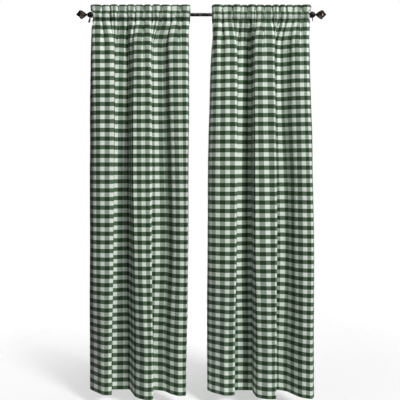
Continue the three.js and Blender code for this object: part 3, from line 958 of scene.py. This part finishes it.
def makePlate():
    bpy.ops.object.select_all(action="DESELECT")
    middle = (plate["x"] * mm, -plate["thickness"] / 2 * mm, 0)
    bpy.ops.mesh.primitive_cube_add(size=mm, location=middle)
    piece = bpy.context.object
    piece.name = piece.data.name = "plateRight"
    piece.scale = (plate["width"], plate["thickness"], plate["height"])
    bpy.ops.object.transform_apply(location=True, rotation=True, scale=True)
    bpy.ops.object.mode_set(mode="EDIT")
    bpy.ops.mesh.select_mode(type="EDGE")
    bpy.ops.mesh.select_all(action="DESELECT")
    bpy.ops.object.mode_set(mode="OBJECT")
    for edge in piece.data.edges:
        one, other = (piece.data.vertices[k].co for k in edge.vertices)
        edge.select = abs(one.y - other.y) > mm
    bpy.ops.object.mode_set(mode="EDIT")
    bpy.ops.mesh.bevel(offset=plate["corner"] * mm, segments=plate["cornerSteps"])
    bpy.ops.mesh.select_mode(type="VERT")
    return finishPiece(piece, plate["softEdge"], plate["sharpAbove"])


# A domed head with a slot cut across it
def makeScrew():
    x, y, z = at = (plate["x"], -screw["from"], screw["beside"])
    piece = startRing("screwRightUpper", at, screw["radius"], screw["around"], (90, 0, 0))
    here, wide = at, screw["radius"]
    for angle in screw["domeAngles"]:
        there = (x, y - screw["dome"] * math.sin(math.radians(angle)), z)
        narrow = screw["radius"] * math.cos(math.radians(angle))
        pull(here, there, (narrow / wide, 1, narrow / wide))
        here, wide = there, narrow
    pull(here, (x, y - screw["dome"], z))
    bpy.ops.mesh.merge(type="CENTER")
    finishPiece(piece)
    long, high, deep = screw["slot"]
    bpy.ops.object.select_all(action="DESELECT")
    front = [x * mm, (y - screw["dome"]) * mm, z * mm]
    turned = (0, math.radians(screw["slotTurn"]), 0)
    bpy.ops.mesh.primitive_cube_add(size=mm, location=front, rotation=turned)
    cutter = bpy.context.object
    cutter.scale = (long, 2 * deep, high)
    slot = piece.modifiers.new("slot", "BOOLEAN")
    slot.object = cutter
    bpy.context.view_layer.objects.active = piece
    bpy.ops.object.modifier_apply(modifier=slot.name)
    bpy.data.objects.remove(cutter)
    return piece


# A thick stem that flattens into a rounded spade, made pointing down and then leant over
def makeThumbscrew(end, side, lean, turn, stem):
    stemX, stemY = thumbscrew["stem"]
    spadeX, spadeY = thumbscrew["spade"]
    stemEnd, neck, shoulder = (stem + past for past in thumbscrew["neckAt"])
    low = stem + thumbscrew["spadeLength"]
    rings = [(thumbscrew["softTop"], stemX, stemY), (stemEnd, stemX, stemY)]
    rings += [(neck, *thumbscrew["neck"]), (shoulder, spadeX, spadeY), (low, spadeX, spadeY)]
    for angle in thumbscrew["roundAngles"]:
        sine, cosine = math.sin(math.radians(angle)), math.cos(math.radians(angle))
        thin = spadeY * cosine ** thumbscrew["thinning"]
        rings.append((low + spadeX * sine, spadeX * cosine, thin))
    piece = startRing("thumbscrew" + end.title(), (0, 0, 0), 1, thumbscrew["around"], (180, 0, 0))
    here, was = (0, 0, 0), (stemX * thumbscrew["softShare"], stemY * thumbscrew["softShare"])
    bpy.ops.transform.resize(value=(*was, 1), center_override=here)
    for down, wideX, wideY in rings:
        pull(here, (0, 0, -down), (wideX / was[0], wideY / was[1], 1))
        here, was = (0, 0, -down), (wideX, wideY)
    finishPiece(piece, sharpAbove=thumbscrew["sharpAbove"])
    leaning = math.radians(lean)
    below = thumbscrew["top"] + stemX * math.sin(leaning)
    turned = Matrix.Rotation(-side * leaning, 4, "Y") @ Matrix.Rotation(math.radians(turn), 4, "Z")
    place = Vector((side * thumbscrew["x"], -curtain["rodOut"], -below)) * mm
    piece.data.transform(Matrix.Translation(place) @ turned)
    return piece


rodBronze = bronzeFinish("rodBronze", (0.12, 0.11, 0.10, 1), 0.20, 0.12)
fittingBronze = bronzeFinish("fittingBronze", (0.045, 0.024, 0.012, 1), 0.42, 0.02)
finialBronze = bronzeFinish("finialBronze", (0.16, 0.075, 0.03, 1), 0.22, 0.10)

def makeRod():
    end, radius, soft = rod["end"], rod["radius"], rod["softEnd"]
    profile = [(-end, radius - soft), (soft - end, radius)]
    profile += [(end - soft, radius), (end, radius - soft)]
    return turnedPiece("curtainRod", profile, rod["around"])


def makeSocket():
    return turnedPiece("socketRight", alongProfile(socket), socket["around"], socket["bore"])


def makeBead():
    return turnedPiece("beadRight", alongProfile(bead), bead["around"])


# Each piece with its node, its finish and its slot; those on the left are copies
metalPieces = [(makeRod(), "rod", rodBronze, "rod_metal")]
rightKinds = (
    ("socket", makeSocket, fittingBronze, "fitting_metal"),
    ("bead", makeBead, finialBronze, "finial_metal"),
    ("finial", makeFinial, finialBronze, "finial_metal"),
    ("arm", makeArm, fittingBronze, "fitting_metal"),
    ("plate", makePlate, fittingBronze, "fitting_metal"),
)
rightPieces = [(make(), kind, finish, slot) for kind, make, finish, slot in rightKinds]
flipped = Matrix.Scale(-1, 4, (1, 0, 0))
for piece, kind, finish, slot in rightPieces:
    other = copied(piece, kind + "Left", flipped, mirrored=True)
    metalPieces.append((piece, kind + "_right", finish, slot))
    metalPieces.append((other, kind + "_left", finish, slot))
upper = makeScrew()
lowered = Matrix.Translation((0, 0, -2 * screw["beside"] * mm))
across = Matrix.Translation((-2 * plate["x"] * mm, 0, 0))
smallPieces = [
    (upper, "screw_right_upper"),
    (copied(upper, "screwRightLower", lowered), "screw_right_lower"),
    (copied(upper, "screwLeftUpper", across), "screw_left_upper"),
    (copied(upper, "screwLeftLower", lowered @ across), "screw_left_lower"),
]
for end in thumbscrew["ends"]:
    smallPieces.append((makeThumbscrew(*end), "thumbscrew_" + end[0]))
metalPieces += [(piece, node, fittingBronze, "fitting_metal") for piece, node in smallPieces]
for piece, node, finish, slot in metalPieces:
    piece.data.materials.append(finish)
    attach(piece, "root")
    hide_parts(node)
print("rod and fittings made:", len(metalPieces), "pieces")

# Stage: a pale floor below the hem, soft light from the right and a fill from the left
stageSizes = {
    "floorAt": (0, 0.7, -2.16),
    "floorRadius": 2.2,
    "floorAround": 96,
    "floorFade": 1.7,  # half gone at this distance from its middle, in metres
    "floorColour": (0.88, 0.88, 0.88, 1),
    "background": 1.0,
    "ambient": 0.10,
}
bpy.ops.object.select_all(action="DESELECT")
bpy.ops.mesh.primitive_circle_add(
    vertices=stageSizes["floorAround"],
    radius=stageSizes["floorRadius"],
    fill_type="NGON",
    location=stageSizes["floorAt"],
)
floor = bpy.context.object
floor.name = "floor"
floorFinish = Finish("paleFloor", {"Base Color": stageSizes["floorColour"], "Roughness": 0.9})
place = floorFinish.node("ShaderNodeTexCoord", output="Object")
far = floorFinish.node("ShaderNodeVectorMath", {"operation": "LENGTH"}, {0: place}, output=1)
floorFinish.feed("Alpha", (stageSizes["floorFade"] - far).clamped())  # fades out towards its edge
floor.data.materials.append(floorFinish.material)

world = bpy.data.worlds.new("studio")
bpy.context.scene.world = world
world.use_nodes = True
sky = world.node_tree
shine = sky.nodes["Background"]
rays = sky.nodes.new("ShaderNodeLightPath")
level = sky.nodes.new("ShaderNodeMix")
level.inputs[2].default_value = stageSizes["ambient"]
level.inputs[3].default_value = stageSizes["background"]
sky.links.new(rays.outputs["Is Camera Ray"], level.inputs[0])
sky.links.new(level.outputs[0], shine.inputs["Strength"])
shine.inputs["Color"].default_value = (1, 1, 1, 1)

lamps = (
    {"name": "key", "at": (4.5, -6.4, 3.5), "to": (0, -0.1, -0.9), "size": 2.2, "power": 650},
    {"name": "fill", "at": (-2.2, -4.6, 0.2), "to": (0, -0.1, -1.0), "size": 2.6, "power": 4},
    {"name": "front", "at": (0.2, -3.7, 1.5), "to": (0, -0.1, -0.2), "size": 0.8, "power": 9},
    {"name": "top", "at": (0.4, -0.9, 2.3), "to": (0, -0.1, -0.6), "size": 1.6, "power": 10},
    {"name": "rear", "at": (-0.8, 2.6, 0.6), "to": (0, 1.1, -2.16), "size": 2.4, "power": 110},
)
for lamp in lamps:
    light = bpy.data.lights.new(lamp["name"], "AREA")
    light.shape = "SQUARE"
    light.size = lamp["size"]
    light.energy = lamp["power"]
    holder = bpy.data.objects.new(lamp["name"], light)
    bpy.context.collection.objects.link(holder)
    holder.location = lamp["at"]
    aim = Vector(lamp["to"]) - Vector(lamp["at"])
    holder.rotation_euler = aim.to_track_quat("-Z", "Y").to_euler()
print("stage lit")

# Camera: level with the eye of the photograph, shifted down to frame the hem
view = {
    "distance": 3.3,  # from the rod
    "pixel": 5.5 * mm,  # one pixel of the photograph at the rod
    "rodMiddle": (201.25, 14.7),  # pixel of the origin
    "eyeLine": 165,
    "imageSize": 400,
    "sensor": 36,
}
centre = view["imageSize"] / 2
lens = bpy.data.cameras.new("camera")
lens.sensor_width = view["sensor"]
lens.lens = view["sensor"] * view["distance"] / (view["imageSize"] * view["pixel"])
lens.shift_y = (view["eyeLine"] - centre) / view["imageSize"]
camera = bpy.data.objects.new("camera", lens)
bpy.context.collection.objects.link(camera)
camera.location = (
    (centre - view["rodMiddle"][0]) * view["pixel"],
    -curtain["rodOut"] * mm - view["distance"],
    (view["rodMiddle"][1] - view["eyeLine"]) * view["pixel"],
)
camera.rotation_euler = (math.radians(90), 0, 0)
bpy.context.scene.camera = camera
bpy.context.scene.view_settings.view_transform = "Standard"
